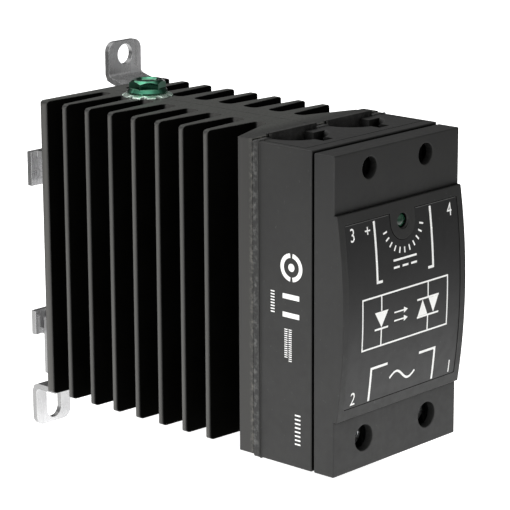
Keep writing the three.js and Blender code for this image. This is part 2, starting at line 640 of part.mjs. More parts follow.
class Helix extends THREE.Curve {
  getPoint(t, target = new THREE.Vector3()) {
    const angle = t * SPRING.turns * 2 * Math.PI;
    const low = SPRING.bottom + SPRING.wire / 2;
    const rise = SPRING.top - SPRING.bottom - SPRING.wire;
    return target.set(
      SPRING.radius * Math.cos(angle), SPRING.y + SPRING.radius * Math.sin(angle), low + rise * t);
  }
}

function latchSpring() {
  const section = new THREE.Shape();
  section.absarc(0, 0, SPRING.wire / 2, 0, 2 * Math.PI, false);
  return solid(new THREE.ExtrudeGeometry(section, {
    steps: SPRING.turns * SPRING.steps, curveSegments: 3, bevelEnabled: false, extrudePath: new Helix(),
  }));
}

// ---------------------------------------------------------------- assembly
const relay = new THREE.Group();
relay.position.set(0, -bracketBack, -RAIL.z);

function add(name, material, manifold) {
  const mesh = new THREE.Mesh(toGeometry(manifold), MATERIAL[material]);
  mesh.name = name;
  relay.add(mesh);
}

const SIDES = [['left', -1], ['right', 1]];

add('heatsink', 'anodised', heatsink());
add('earth_washer', 'green', earthWasher());
add('earth_screw', 'green', earthScrew());
add('base_housing', 'housing', baseHousing());
add('front_cover', 'housing', frontCover());
add('nameplate_label', 'label', nameplateLabel());
add('status_window', 'lens', statusWindow());
add('status_led', 'led', statusLed());
add('heat_spreader', 'copper', heatSpreader());
add('ceramic_substrate', 'ceramic', ceramicSubstrate());
add('scr_chip_lower', 'silicon', scrChip(POWER.chipHeights[0]));
add('scr_chip_upper', 'silicon', scrChip(POWER.chipHeights[1]));
add('control_board', 'board', controlBoard());
add('optocoupler', 'component', optocoupler());
add('snubber_capacitor', 'film', snubberCapacitor());
add('snubber_resistor', 'ceramic', snubberResistor());
add('varistor', 'disc', varistor());
add('input_resistor', 'film', boardResistor(49));
add('gate_resistor', 'film', boardResistor(35));
GATE_LEAD.places.forEach((place, i) => add(`gate_lead_${i + 1}`, 'plated', gateLead(place)));
for (const [side, sign] of SIDES) {
  add(`input_contact_${side}`, 'copper', inputContact(sign));
  add(`input_clamp_${side}`, 'plated', clampCage(INPUT, sign));
  add(`input_screw_${side}`, 'steel', terminalScrew(INPUT, sign));
  add(`output_busbar_${side}`, 'copper', outputBusbar(sign));
  add(`output_clamp_${side}`, 'plated', clampCage(OUTPUT, sign));
  add(`output_screw_${side}`, 'steel', terminalScrew(OUTPUT, sign));
  add(`housing_screw_${side}`, 'steel', housingScrew(sign));
  add(`latch_rivet_${side}`, 'steel', latchRivet(sign));
}
add('mounting_bracket', 'plated', mountingBracket());
add('bracket_screw_lower', 'steel', bracketScrew(BRACKET_SCREW.heights[0]));
add('bracket_screw_upper', 'steel', bracketScrew(BRACKET_SCREW.heights[1]));
add('din_latch', 'plated', dinLatch());
add('latch_spring', 'steel', latchSpring());

const model = new THREE.Group();
model.add(relay);
export default model;
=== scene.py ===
"""Solid state relay on a finned heatsink: the looks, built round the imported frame."""
import json
import math

import bmesh
import bpy
from mathutils import Matrix, Vector

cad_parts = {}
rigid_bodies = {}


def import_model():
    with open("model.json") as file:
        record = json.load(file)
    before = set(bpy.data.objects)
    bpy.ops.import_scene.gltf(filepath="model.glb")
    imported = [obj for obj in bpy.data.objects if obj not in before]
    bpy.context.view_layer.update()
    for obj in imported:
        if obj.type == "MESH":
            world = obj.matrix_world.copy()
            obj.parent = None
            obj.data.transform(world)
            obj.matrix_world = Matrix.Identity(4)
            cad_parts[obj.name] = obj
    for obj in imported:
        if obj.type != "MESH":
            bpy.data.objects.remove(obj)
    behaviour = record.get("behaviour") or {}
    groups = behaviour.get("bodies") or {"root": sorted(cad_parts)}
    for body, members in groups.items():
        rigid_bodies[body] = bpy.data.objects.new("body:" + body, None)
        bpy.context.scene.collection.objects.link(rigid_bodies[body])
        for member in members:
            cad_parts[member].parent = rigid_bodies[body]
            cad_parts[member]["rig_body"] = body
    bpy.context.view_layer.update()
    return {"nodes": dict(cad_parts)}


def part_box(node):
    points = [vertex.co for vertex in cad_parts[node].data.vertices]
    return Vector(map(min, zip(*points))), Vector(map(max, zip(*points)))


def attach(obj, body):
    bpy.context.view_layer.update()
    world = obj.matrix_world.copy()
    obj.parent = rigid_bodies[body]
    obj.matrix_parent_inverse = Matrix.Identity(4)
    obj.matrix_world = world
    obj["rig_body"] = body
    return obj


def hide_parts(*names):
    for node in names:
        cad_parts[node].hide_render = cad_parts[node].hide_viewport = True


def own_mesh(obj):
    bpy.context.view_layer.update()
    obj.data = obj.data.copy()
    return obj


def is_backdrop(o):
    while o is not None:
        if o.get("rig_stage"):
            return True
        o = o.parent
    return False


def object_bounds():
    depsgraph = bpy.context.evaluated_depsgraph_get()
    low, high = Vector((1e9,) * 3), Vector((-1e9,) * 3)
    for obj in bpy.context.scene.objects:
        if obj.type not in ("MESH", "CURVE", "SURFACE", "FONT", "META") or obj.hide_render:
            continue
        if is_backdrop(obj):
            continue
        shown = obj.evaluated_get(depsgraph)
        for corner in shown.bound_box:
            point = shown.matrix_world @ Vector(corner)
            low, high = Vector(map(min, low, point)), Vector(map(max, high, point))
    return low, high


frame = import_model()

# ------------------------------------------------------------------ dimensions
# Shapes are drawn in millimetres from the front face (y = 0) and the housing's underside (z = 0),
# and one matrix carries them into the frame.
MM = 0.001
sink_low, sink_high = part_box("heatsink")
base_low, base_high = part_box("base_housing")
_, cover_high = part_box("front_cover")

HALF = (sink_high.x - sink_low.x) / MM / 2
DEPTH = 96.7
DRAWING = Matrix.Translation((0, sink_high.y - DEPTH * MM, base_low.z)) @ Matrix.Scale(MM, 4)


def drawn(point):
    """A point of the frame, in the drawing's millimetres."""
    return DRAWING.inverted() @ Vector(point)


SINK_BOTTOM, SINK_TOP = drawn(sink_low).z, drawn(sink_high).z
BASE_BACK = drawn(base_high).y
COVER_BACK, COVER_TOP = drawn(cover_high).y, drawn(cover_high).z
HEIGHT = 76.0

# heatsink
FINS = 8
FIN_PITCH = 8.0
FIN_T = 1.45
FIN_ROOT = 0.95  # how much thicker a fin's root is, on each face
FIN_REACH = {-1: HALF, 1: 21.7}
FIN_CORNER = 1.5
FIN_NOSE = 0.6
REAR_PLATE = 2.4
SIDE_DEPTH = 4.45  # of the base plate at its sides
SHOULDER = 34.4  # y of the first slot's root, behind the base plate's slope
SPINE_AT = 37.0
SPINE_HALF = 6.1
SPINE_TAPER = 0.047
SLOT_ROUND = 1.7
EARTH_HOLE = {"radius": 2.6, "depth": 9}

# base housing
SEAM = 0.65  # from the cover to the base
SKIRT = {"out": 0.1, "depth": 2.2}
CAVITY = {"half": 20, "z": (15.5, 62)}
PANEL = {"half": 21.1, "front": 9.7, "wide": 0.26, "deep": 0.28}  # the fine groove round the wire doors
LIP = {"x": (19.2, 20.5), "front": 3.2, "z": (4, 72)}
RIB_X = (2.1, 18)
RIBS = ({"y": (22.95, 23.75), "down": 2.5, "up": 1.35, "edge": 0.16},
        {"y": (24.05, 24.6), "down": 1, "up": 1.0, "edge": 0.14})
DOOR_FILL = {"x": (3.6, 9), "y": (20.2, 23.1), "down": (5, 0.05)}  # x from the door's middle
DOOR_SLOT = {"x": (-2.1, 1.5), "y": (12.2, 15.5), "down": 4}

# front cover and its nameplate
COVER_WALL = 1.8
PLATE_LOW = 13.4
PLATE_TOP = 62.0
PLATE_EDGE = 0.85
PLATE_BULGE = 1.95
LABEL_HALF = 20.4
LABEL_LOW = 16.0
LABEL_TOP = 59.6
LABEL_SINK = 0.4
LABEL_T = 0.25
LABEL_GAP = 0.12
NOTCH = 4.4
WINDOW_Z = 57.3
WINDOW_HOLE = 1.75
WINDOW_LENS = 1.6
INK = 0.03

# terminals: driver hole, then the pocket and the half-round wire door behind it
INPUT = {"x": 10.1, "z": 71.15, "hole": 2.55, "pocket_x": (3.4, 17), "pocket_back": 23.1,
         "pocket_z": (64.8, 74), "door_x": 10.05, "door_y": 22.9, "door_radius": 7.3}
OUTPUT = {"x": 11.6, "z": 7.2, "hole": 3.1, "pocket_x": (4.2, 19), "pocket_back": 23.5,
          "pocket_z": (1.7, 13.2), "door_x": 11.7, "door_y": 22.7, "door_radius": 6.8}

# earth screw and its washer
EARTH_Y = 81.1
WASHER_T = 0.9
WASHER = 6.4
WASHER_TEETH = 10
FLANGE = 5.1
HEX_FLATS = 8
HEAD_TOP = 3.3
THREAD = {"root": 2.12, "crest": 2.5, "pitch": 0.8, "depth": 8}
SIDES = (("left", -1), ("right", 1))

TAU = 2 * math.pi


# ------------------------------------------------------------------ mesh helpers
def work(name, bm):
    """A temporary object, in millimetres."""
    bmesh.ops.remove_doubles(bm, verts=bm.verts, dist=1e-4)
    bmesh.ops.recalc_face_normals(bm, faces=bm.faces)
    mesh = bpy.data.meshes.new(name)
    bm.to_mesh(mesh)
    bm.free()
    obj = bpy.data.objects.new(name, mesh)
    bpy.context.scene.collection.objects.link(obj)
    return obj


def prism(outline, axis, low, high, name="prism"):
    """A closed outline carried along an axis. It is drawn in (y, z), (x, z) or (x, y)."""
    place = {
        "x": lambda a, b, c: (c, a, b),
        "y": lambda a, b, c: (a, c, b),
        "z": lambda a, b, c: (a, b, c),
    }[axis]
    bm = bmesh.new()
    near = [bm.verts.new(place(a, b, low)) for a, b in outline]
    far = [bm.verts.new(place(a, b, high)) for a, b in outline]
    bm.faces.new(near)
    bm.faces.new(far)
    for i in range(len(near)):
        j = (i + 1) % len(near)
        bm.faces.new((near[i], near[j], far[j], far[i]))
    return work(name, bm)


def block(x, y, z, name="block"):
    """A box, each axis given as (low, high)."""
    return prism([(x[0], y[0]), (x[1], y[0]), (x[1], y[1]), (x[0], y[1])], "z", z[0], z[1], name)


def turned(profile, axis, centre, sides=64):
    """A profile of (radius, height) turned about an axis through centre; its ends close on the axis."""
    place = {
        "x": lambda u, v, h: (h, centre[0] + u, centre[1] + v),
        "y": lambda u, v, h: (centre[0] + u, h, centre[1] + v),
        "z": lambda u, v, h: (centre[0] + u, centre[1] + v, h),
    }[axis]
    bm = bmesh.new()
    rings = []
    for r, h in profile:
        if r < 1e-6:
            rings.append([bm.verts.new(place(0, 0, h))])
        else:
            rings.append([bm.verts.new(place(r * math.cos(TAU * i / sides), r * math.sin(TAU * i / sides), h))
                          for i in range(sides)])
    pairs = list(zip(rings, rings[1:]))
    if len(rings[0]) > 1:
        pairs.append((rings[-1], rings[0]))
    for a, b in pairs:
        for i in range(sides):
            j = (i + 1) % sides
            loop = [a[i % len(a)], a[j % len(a)], b[j % len(b)], b[i % len(b)]]
            face = [v for k, v in enumerate(loop) if v not in loop[:k]]
            if len(face) > 2:
                bm.faces.new(face)
    return work("turned", bm)


def arc(centre, radius, start, end, steps):
    """Points on an arc, angles in degrees."""
    turn = [math.radians(start + (end - start) * i / steps) for i in range(steps + 1)]
    return [(centre[0] + radius * math.cos(t), centre[1] + radius * math.sin(t)) for t in turn]


def mirrored(side, span):
    """A span of x carried to one side, -1 or 1, low end first."""
    return tuple(sorted(side * x for x in span))


def rounded(low, high, radius, steps=8):
    """A rectangle's outline with round corners."""
    (x0, z0), (x1, z1) = low, high
    r = radius
    return (arc((x1 - r, z0 + r), r, -90, 0, steps) + arc((x1 - r, z1 - r), r, 0, 90, steps)
            + arc((x0 + r, z1 - r), r, 90, 180, steps) + arc((x0 + r, z0 + r), r, 180, 270, steps))


def settle(obj):
    """Applies obj's modifiers."""
    graph = bpy.context.evaluated_depsgraph_get()
    mesh = bpy.data.meshes.new_from_object(obj.evaluated_get(graph))
    obj.modifiers.clear()
    old, obj.data = obj.data, mesh
    bpy.data.meshes.remove(old)
    return obj


def combine(obj, tools, operation):
    """Applies a boolean with each tool in turn, and removes the tools."""
    for tool in tools:
        modifier = obj.modifiers.new(operation, "BOOLEAN")
        modifier.operation = operation
        modifier.solver = "EXACT"
        modifier.object = tool
        settle(obj)
        bpy.data.objects.remove(tool)
    return obj


def cut(obj, *tools):
    return combine(obj, tools, "DIFFERENCE")


def join(obj, *tools):
    return combine(obj, tools, "UNION")


def common(obj, *tools):
    return combine(obj, tools, "INTERSECT")


def soften(obj, width, segments=3, angle=32, clamp=False):
    """Rounds every edge sharper than angle."""
    bm = bmesh.new()
    bm.from_mesh(obj.data)
    bmesh.ops.remove_doubles(bm, verts=bm.verts, dist=2e-3)
    bmesh.ops.dissolve_limit(bm, angle_limit=math.radians(0.6), verts=bm.verts, edges=bm.edges)
    bm.to_mesh(obj.data)
    bm.free()
    modifier = obj.modifiers.new("bevel", "BEVEL")
    modifier.width = width
    modifier.segments = segments
    modifier.limit_method = "ANGLE"
    modifier.angle_limit = math.radians(angle)
    modifier.miter_outer = "MITER_ARC"
    modifier.use_clamp_overlap = clamp
    return settle(obj)


def smooth(obj, angle=38):
    """Smooth faces with crisp edges, and flat faces that stay flat."""
    for face in obj.data.polygons:
        face.use_smooth = True
    obj.data.set_sharp_from_angle(angle=math.radians(angle))
    modifier = obj.modifiers.new("normals", "WEIGHTED_NORMAL")
    modifier.mode = "FACE_AREA"
    modifier.weight = 90
    modifier.keep_sharp = True
    return settle(obj)


def finished(obj, name, body, material, stands_for=(), angle=38):
    """Carries a drawn object into the frame and makes it a piece of the relay."""
    smooth(obj, angle)
    obj.data.transform(DRAWING)
    obj.name = name
    obj.data.name = name
    obj.data.materials.clear()
    obj.data.materials.append(material)
    if stands_for:
        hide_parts(*stands_for)
    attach(obj, body)
    return obj


def refined(node, material, width, segments=2, angle=32):
    """A CAD node with its edges rounded."""
    source = frame["nodes"][node]
    mesh = source.data.copy()
    mesh.transform(DRAWING.inverted())
    mesh.materials.clear()
    obj = bpy.data.objects.new(node + "_fine", mesh)
    bpy.context.scene.collection.objects.link(obj)
    bm = bmesh.new()
    bm.from_mesh(mesh)
    bmesh.ops.remove_doubles(bm, verts=bm.verts, dist=1e-3)
    bmesh.ops.dissolve_limit(bm, angle_limit=math.radians(0.8), verts=bm.verts, edges=bm.edges)
    bm.to_mesh(mesh)
    bm.free()
    soften(obj, width, segments, angle, True)
    return finished(obj, node + "_fine", source["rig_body"], material, (node,))


# ------------------------------------------------------------------ materials
EDGE_WEAR_AND_HIGHLIGHT_WIDTH = 0.3


def shader(name, **values):
    """A material whose constants sit on the shader's own sockets."""
    material = bpy.data.materials.new(name)
    material.use_nodes = True
    nodes = material.node_tree.nodes
    bsdf = nodes["Principled BSDF"]
    for socket, value in values.items():
        bsdf.inputs[socket].default_value = value
    return material, nodes, material.node_tree.links, bsdf


def place(nodes):
    """Where a shaded point is, in the frame's metres."""
    return nodes.new("ShaderNodeTexCoord").outputs["Object"]


def noise(nodes, links, vector, scale, detail=3.0, rough=0.55, stretch=None):
    """Noise at a scale given in cycles per millimetre, stretched along an axis if asked."""
    mapping = nodes.new("ShaderNodeMapping")
    links.new(vector, mapping.inputs["Vector"])
    factor = stretch or (1, 1, 1)
    mapping.inputs["Scale"].default_value = [scale * 1000 * f for f in factor]
    texture = nodes.new("ShaderNodeTexNoise")
    texture.inputs["Scale"].default_value = 1.0
    texture.inputs["Detail"].default_value = detail
    texture.inputs["Roughness"].default_value = rough
    links.new(mapping.outputs["Vector"], texture.inputs["Vector"])
    return texture.outputs["Fac"]


def ramp(nodes, links, factor, low, high, start=0.3, end=0.7):
    """Maps a factor to a number between low and high."""
    node = nodes.new("ShaderNodeMapRange")
    node.inputs["From Min"].default_value = start
    node.inputs["From Max"].default_value = end
    node.inputs["To Min"].default_value = low
    node.inputs["To Max"].default_value = high
    links.new(factor, node.inputs["Value"])
    return node.outputs["Result"]


def tint(nodes, links, factor, first, second):
    """A colour between two."""
    node = nodes.new("ShaderNodeMix")
    node.data_type = "RGBA"
    node.inputs["A"].default_value = (*first, 1)
    node.inputs["B"].default_value = (*second, 1)
    links.new(factor, node.inputs["Factor"])
    return node.outputs["Result"]


def bump(nodes, links, bsdf, height, strength, distance):
    """Bump of a depth in millimetres; a second call adds to the first."""
    node = nodes.new("ShaderNodeBump")
    node.inputs["Strength"].default_value = strength
    node.inputs["Distance"].default_value = distance * MM
    links.new(height, node.inputs["Height"])
    if bsdf.inputs["Normal"].is_linked:
        links.new(bsdf.inputs["Normal"].links[0].from_socket, node.inputs["Normal"])
    links.new(node.outputs["Normal"], bsdf.inputs["Normal"])


def edge_wear_and_highlight(nodes, links, amount):
    """A factor that is high close to an edge, and patchy along it, for edge wear and painted edge highlights.
    """
    rounded_normal = nodes.new("ShaderNodeBevel")
    rounded_normal.samples = 4
    rounded_normal.inputs["Radius"].default_value = EDGE_WEAR_AND_HIGHLIGHT_WIDTH * MM
    bend = nodes.new("ShaderNodeVectorMath")
    bend.operation = "DOT_PRODUCT"
    links.new(rounded_normal.outputs["Normal"], bend.inputs[0])
    links.new(nodes.new("ShaderNodeNewGeometry").outputs["Normal"], bend.inputs[1])
    edge = ramp(nodes, links, bend.outputs["Value"], amount, 0, 0.8, 0.99)
    patches = ramp(nodes, links, noise(nodes, links, place(nodes), 0.5, 3), 0.45, 1)
    both = nodes.new("ShaderNodeMath")
    both.operation = "MULTIPLY"
    links.new(edge, both.inputs[0])
    links.new(patches, both.inputs[1])
    return both.outputs["Value"]


def hollow_shade(nodes, reach=5.0):
    """A factor that falls towards 0 inside pockets, holes and seams, used to paint shade there."""
    node = nodes.new("ShaderNodeAmbientOcclusion")
    node.samples = 6
    node.inputs["Distance"].default_value = reach * MM
    return node.outputs["AO"]


def speckle(nodes, links, where, scale, low, high):
    """Sparse dust and scuffs, from 0 to 1."""
    return ramp(nodes, links, noise(nodes, links, where, scale, 5, 0.7), 0, 1, low, high)


def scuffed(nodes, links, where, colour, light):
    """Light scuffs on both sides of the seam between the housing and the heatsink."""
    depth = nodes.new("ShaderNodeSeparateXYZ")
    links.new(where, depth.inputs["Vector"])
    seam_y = (DRAWING @ Vector((0, BASE_BACK, 0))).y
    away = nodes.new("ShaderNodeMath")
    away.operation = "ABSOLUTE"
    offset = nodes.new("ShaderNodeMath")
    offset.operation = "SUBTRACT"
    offset.inputs[1].default_value = seam_y - 0.4 * MM
    links.new(depth.outputs["Y"], offset.inputs[0])
    links.new(offset.outputs["Value"], away.inputs[0])
    near = ramp(nodes, links, away.outputs["Value"], 1, 0, 0.5 * MM, 1.7 * MM)
    amount = nodes.new("ShaderNodeMath")
    amount.operation = "MULTIPLY"
    links.new(near, amount.inputs[0])
    links.new(speckle(nodes, links, where, 0.9, 0.47, 0.68), amount.inputs[1])
    mix = nodes.new("ShaderNodeMix")
    mix.data_type = "RGBA"
    mix.inputs["B"].default_value = (*light, 1)
    links.new(amount.outputs["Value"], mix.inputs["Factor"])
    links.new(colour, mix.inputs["A"])
    return mix.outputs["Result"]


def moulded_plastic(name, dark, light, roughness=0.5, grain=0.5, edge=(0.05, 0.05, 0.048), gloss=0.3):
    """Grained plastic with edges lightened for wear and painted highlight, a little dust, and painted shade
    in its hollows.
    """
    material, nodes, links, bsdf = shader(name)
    where = place(nodes)
    cloud = noise(nodes, links, where, 0.06, 4)
    fine = noise(nodes, links, where, 2.4, 2, 0.6)
    colour = tint(nodes, links, ramp(nodes, links, cloud, 0, 1), dark, light)
    mix = nodes.new("ShaderNodeMix")
    mix.data_type = "RGBA"
    mix.inputs["B"].default_value = (*edge, 1)
    links.new(edge_wear_and_highlight(nodes, links, 0.5), mix.inputs["Factor"])
    links.new(colour, mix.inputs["A"])
    dust = nodes.new("ShaderNodeMix")
    dust.data_type = "RGBA"
    dust.inputs["B"].default_value = (*[4 * c for c in light], 1)
    links.new(speckle(nodes, links, where, 1.1, 0.64, 0.8), dust.inputs["Factor"])
    links.new(mix.outputs["Result"], dust.inputs["A"])
    # Painted shade: in pockets, holes and seams the colour runs to near-black and the reflection fades.
    unshaded = ramp(nodes, links, hollow_shade(nodes), 0, 1, 0.42, 0.88)
    shaded = nodes.new("ShaderNodeMix")
    shaded.data_type = "RGBA"
    shaded.inputs["A"].default_value = (0.0015, 0.0015, 0.0015, 1)
    links.new(unshaded, shaded.inputs["Factor"])
    links.new(dust.outputs["Result"], shaded.inputs["B"])
    tone = scuffed(nodes, links, where, shaded.outputs["Result"], [4.5 * c for c in light])
    links.new(tone, bsdf.inputs["Base Color"])
    links.new(ramp(nodes, links, unshaded, 0, gloss, 0, 1), bsdf.inputs["Specular IOR Level"])
    links.new(ramp(nodes, links, noise(nodes, links, where, 0.5, 3), roughness - 0.05, roughness + 0.07),
              bsdf.inputs["Roughness"])
    bump(nodes, links, bsdf, fine, grain, 0.02)
    bump(nodes, links, bsdf, cloud, 0.25, 0.12)
    return material


def anodised(name):
    """Black anodised extrusion: die lines run up the sides, and the sawn ends show a fine lay. Its tone is
    painted light set by which way a face points: near-black slot faces as painted shade, lighter fin tips as
    painted highlight, and tops in between.
    """
    material, nodes, links, bsdf = shader(name)
    where = place(nodes)
    split = nodes.new("ShaderNodeSeparateXYZ")
    rounded_normal = nodes.new("ShaderNodeBevel")
    rounded_normal.samples = 6
    rounded_normal.inputs["Radius"].default_value = 0.55 * MM
    links.new(rounded_normal.outputs["Normal"], split.inputs["Vector"])

    def facing(axis):
        size = nodes.new("ShaderNodeMath")
        size.operation = "ABSOLUTE"
        links.new(split.outputs[axis], size.inputs[0])
        return ramp(nodes, links, size.outputs["Value"], 0, 1, 0.66, 1.0)

    def layered(factor, below, above):
        mix = nodes.new("ShaderNodeMix")
        mix.data_type = "RGBA"
        links.new(factor, mix.inputs["Factor"])
        links.new(below, mix.inputs["A"])
        links.new(above, mix.inputs["B"])
        return mix.outputs["Result"]

    die = noise(nodes, links, where, 1.6, 3, 0.6, (1, 1, 0.01))
    saw = noise(nodes, links, where, 1.5, 3, 0.7, (0.05, 1, 1))
    cloud = ramp(nodes, links, noise(nodes, links, where, 0.08, 3), 0, 1)
    fin = tint(nodes, links, cloud, (0.0012, 0.0012, 0.001), (0.002, 0.002, 0.0018))
    tip = tint(nodes, links, ramp(nodes, links, die, 0, 1), (0.06, 0.0585, 0.055), (0.085, 0.083, 0.078))
    top = tint(nodes, links, ramp(nodes, links, saw, 0, 1), (0.03, 0.031, 0.028), (0.045, 0.046, 0.041))
    # Painted light by facing: slot faces near-black as shade, fin tips lighter as a highlight, tops in
    # between.
    colour = layered(facing("Z"), layered(facing("X"), fin, tip), top)
    # Edges lightened, partly wear and partly painted highlight.
    edge = nodes.new("ShaderNodeMix")
    edge.data_type = "RGBA"
    edge.inputs["B"].default_value = (0.13, 0.13, 0.125, 1)
    links.new(edge_wear_and_highlight(nodes, links, 0.7), edge.inputs["Factor"])
    links.new(colour, edge.inputs["A"])
    # The base plate's sides are painted darker than the fin tips, the slots get painted shade that
    # runs to deep black, and the seam against the housing is scuffed.
    depth = nodes.new("ShaderNodeSeparateXYZ")
    links.new(where, depth.inputs["Vector"])
    seam_y = (DRAWING @ Vector((0, BASE_BACK, 0))).y
    plate = ramp(nodes, links, depth.outputs["Y"], 0.42, 1, seam_y + 4 * MM, seam_y + 8 * MM)
    unshaded = nodes.new("ShaderNodeMath")
    unshaded.operation = "MULTIPLY"
    links.new(ramp(nodes, links, hollow_shade(nodes, 7), 0, 1, 0.3, 0.62), unshaded.inputs[0])
    links.new(plate, unshaded.inputs[1])
    shaded = nodes.new("ShaderNodeMix")
    shaded.data_type = "RGBA"
    shaded.inputs["A"].default_value = (0.001, 0.001, 0.001, 1)
    links.new(unshaded.outputs["Value"], shaded.inputs["Factor"])
    links.new(edge.outputs["Result"], shaded.inputs["B"])
    worn = scuffed(nodes, links, where, shaded.outputs["Result"], (0.13, 0.127, 0.11))
    links.new(worn, bsdf.inputs["Base Color"])
    # Slot faces lose their reflection as well, as painted shade.
    links.new(ramp(nodes, links, facing("Y"), 0.36, 0.0, 0, 1), bsdf.inputs["Specular IOR Level"])
    links.new(ramp(nodes, links, die, 0.5, 0.66), bsdf.inputs["Roughness"])
    bump(nodes, links, bsdf, die, 0.35, 0.03)
    bump(nodes, links, bsdf, saw, 0.2, 0.02)
    return material


def metal(name, colour, shade, roughness, lay=(1, 1, 1), scale=1.2, edge=None, cut_edge_shade=None, metallic=1.0,
          coat=0.0):
    """Bright metal with a rolled or brushed lay and small stains; edge paints a highlight on the rims, and
    cut_edge_shade paints shade on a sheet's cut edges.
    """
    material, nodes, links, bsdf = shader(name, Metallic=metallic)
    bsdf.inputs["Coat Weight"].default_value = coat
    where = place(nodes)
    cloud = noise(nodes, links, where, 0.18, 4)
    lines = noise(nodes, links, where, scale, 4, 0.6, lay)
    base = tint(nodes, links, ramp(nodes, links, cloud, 0, 1, 0.35, 0.75), colour, shade)
    if edge:
        mix = nodes.new("ShaderNodeMix")
        mix.data_type = "RGBA"
        mix.inputs["B"].default_value = (*edge, 1)
        links.new(edge_wear_and_highlight(nodes, links, 0.6), mix.inputs["Factor"])
        links.new(base, mix.inputs["A"])
        base = mix.outputs["Result"]
    # Faces across the sheet's thickness are painted dark, as shade.
    if cut_edge_shade:
        split = nodes.new("ShaderNodeSeparateXYZ")
        links.new(nodes.new("ShaderNodeNewGeometry").outputs["True Normal"], split.inputs["Vector"])
        across = nodes.new("ShaderNodeMath")
        across.operation = "ABSOLUTE"
        links.new(split.outputs["Y"], across.inputs[0])
        mix = nodes.new("ShaderNodeMix")
        mix.data_type = "RGBA"
        mix.inputs["A"].default_value = (*cut_edge_shade, 1)
        links.new(ramp(nodes, links, across.outputs["Value"], 0, 1, 0.15, 0.6), mix.inputs["Factor"])
        links.new(base, mix.inputs["B"])
        base = mix.outputs["Result"]
    links.new(base, bsdf.inputs["Base Color"])
    links.new(ramp(nodes, links, lines, roughness * 0.75, roughness * 1.35), bsdf.inputs["Roughness"])
    bump(nodes, links, bsdf, lines, 0.3, 0.02)
    bump(nodes, links, bsdf, cloud, 0.2, 0.08)
    return material


def glossy(name, first, second, roughness=0.25, coat=0.0, scale=0.4):
    """Moulded, dipped or lacquered small parts."""
    material, nodes, links, bsdf = shader(name)
    bsdf.inputs["Coat Weight"].default_value = coat
    where = place(nodes)
    cloud = noise(nodes, links, where, scale, 3)
    links.new(tint(nodes, links, ramp(nodes, links, cloud, 0, 1), first, second), bsdf.inputs["Base Color"])
    links.new(ramp(nodes, links, noise(nodes, links, where, 1.1, 2), roughness * 0.8, roughness * 1.3),
              bsdf.inputs["Roughness"])
    bump(nodes, links, bsdf, noise(nodes, links, where, 2.0, 2), 0.3, 0.015)
    return material


HOUSING = moulded_plastic("housing_plastic", (0.017, 0.017, 0.0166), (0.022, 0.022, 0.0212), 0.5, 0.55,
                          gloss=0.31)
LABEL = moulded_plastic("label_film", (0.012, 0.012, 0.012), (0.015, 0.015, 0.015), 0.4, 0.25,
                        (0.03, 0.03, 0.03), 0.33)
PRINT = moulded_plastic("white_print", (0.8, 0.8, 0.78), (0.88, 0.88, 0.86), 0.55, 0.15, (0.9, 0.9, 0.88))
ANODISED = anodised("black_anodised")
PLATED = metal("bright_steel", (0.72, 0.73, 0.745), (0.6, 0.61, 0.63), 0.2, (1, 1, 0.2))
SHEET = metal("plated_sheet", (0.66, 0.66, 0.665), (0.53, 0.53, 0.535), 0.27, (1, 1, 0.15), 0.8,
              cut_edge_shade=(0.27, 0.27, 0.27), metallic=0.8)
STEEL = metal("screw_steel", (0.62, 0.63, 0.64), (0.5, 0.5, 0.5), 0.3)
# The pale edge colours of the green screw and its washer are painted highlights on their rims.
GREEN = metal("green_plated", (0.055, 0.29, 0.17), (0.02, 0.17, 0.085), 0.12, edge=(0.5, 0.74, 0.6),
              coat=0.7)
PALE_GREEN = metal("pale_green_plated", (0.78, 0.88, 0.8), (0.5, 0.72, 0.6), 0.2, edge=(0.9, 0.95, 0.9),
                   metallic=0.8)
# A grey for a painted highlight on the label's top edge.
LABEL_EDGE_HIGHLIGHT = moulded_plastic("label_edge_highlight", (0.07, 0.07, 0.068), (0.1, 0.1, 0.097), 0.4, 0.2,
                             (0.12, 0.12, 0.12), 0.5)
COPPER = metal("plated_copper", (0.78, 0.42, 0.28), (0.65, 0.32, 0.2), 0.3, (0.2, 1, 1))
CERAMIC = glossy("white_ceramic", (0.78, 0.77, 0.72), (0.85, 0.84, 0.8), 0.5)
SILICON = glossy("silicon", (0.09, 0.1, 0.13), (0.13, 0.14, 0.17), 0.18)
BOARD = glossy("board_laminate", (0.012, 0.12, 0.04), (0.02, 0.16, 0.06), 0.35, 0.2, 0.15)
EPOXY = moulded_plastic("black_epoxy", (0.02, 0.02, 0.02), (0.028, 0.028, 0.028), 0.55, 0.5)
FILM = glossy("capacitor_film", (0.5, 0.26, 0.03), (0.58, 0.33, 0.05), 0.3, 0.3)
DISC = glossy("varistor_epoxy", (0.02, 0.09, 0.35), (0.03, 0.13, 0.45), 0.3, 0.3)
LACQUER = glossy("resistor_lacquer", (0.5, 0.36, 0.18), (0.58, 0.44, 0.24), 0.3, 0.3)
WINDOW = glossy("window_plastic", (0.002, 0.012, 0.006), (0.01, 0.07, 0.035), 0.14, 0.35)
LED = glossy("led_epoxy", (0.05, 0.35, 0.12), (0.08, 0.45, 0.18), 0.2, 0.5)


# ------------------------------------------------------------------ heatsink
def spine_half(y):
    """Half the spine's width, which tapers towards the rear."""
    return SPINE_HALF - SPINE_TAPER * (y - SPINE_AT)


def fin_rear(i):
    """The y of a fin's rear face, counted from the front."""
    return DEPTH - FIN_PITCH * (FINS - 1 - i)


def nose(reach, front, rear):
    """The rounded tip of a fin, from its front face to its rear face."""
    steps = 8
    half = (rear - front) / 2
    return [(reach - FIN_NOSE * (1 - math.cos(a)), (front + rear) / 2 + half * math.sin(a))
            for a in (math.radians(-90 + 180 * k / steps) for k in range(steps + 1))]


